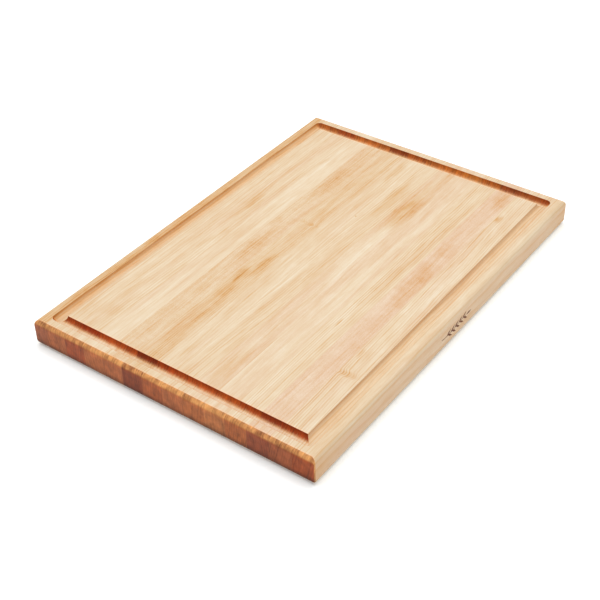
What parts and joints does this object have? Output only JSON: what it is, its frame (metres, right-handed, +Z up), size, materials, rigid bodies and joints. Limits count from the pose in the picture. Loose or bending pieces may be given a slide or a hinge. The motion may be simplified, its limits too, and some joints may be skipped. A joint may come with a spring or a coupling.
{
  "type": "cutting board",
  "caption": "Thick rectangular edge-grain maple cutting board of glued staves, with rounded edges and a round-bottomed juice groove around the cutting surface.",
  "frame": {"origin": "centre of the underside, on the surface that the board lies on", "axes": "+X along the length, with the grain; +Y across the staves towards the narrow trimmed stave; +Z up, out of the grooved cutting surface"},
  "size_m": [0.508, 0.3556, 0.0318],
  "materials": {
    "maple_pale": "oiled, satin",
    "maple_tan": "oiled, satin",
    "maple_pink": "oiled, satin",
    "maple_brown": "oiled, satin",
    "glue": "cured wood glue, matte"
  },
  "bodies": {
    "root": {"stave_01": "maple_tan", "stave_02": "maple_tan", "stave_03": "maple_tan", "stave_04": "maple_pale", "stave_05": "maple_brown", "stave_06": "maple_brown", "stave_07": "maple_tan", "stave_08": "maple_pale", "stave_09": "maple_pink", "stave_10": "maple_pink", "stave_11": "maple_pale", "stave_12": "maple_pink", "stave_13": "maple_pale", "stave_14": "maple_tan", "glue_line_01": "glue", "glue_line_02": "glue", "glue_line_03": "glue", "glue_line_04": "glue", "glue_line_05": "glue", "glue_line_06": "glue", "glue_line_07": "glue", "glue_line_08": "glue", "glue_line_09": "glue", "glue_line_10": "glue", "glue_line_11": "glue", "glue_line_12": "glue", "glue_line_13": "glue"}
  },
  "joints": []
}
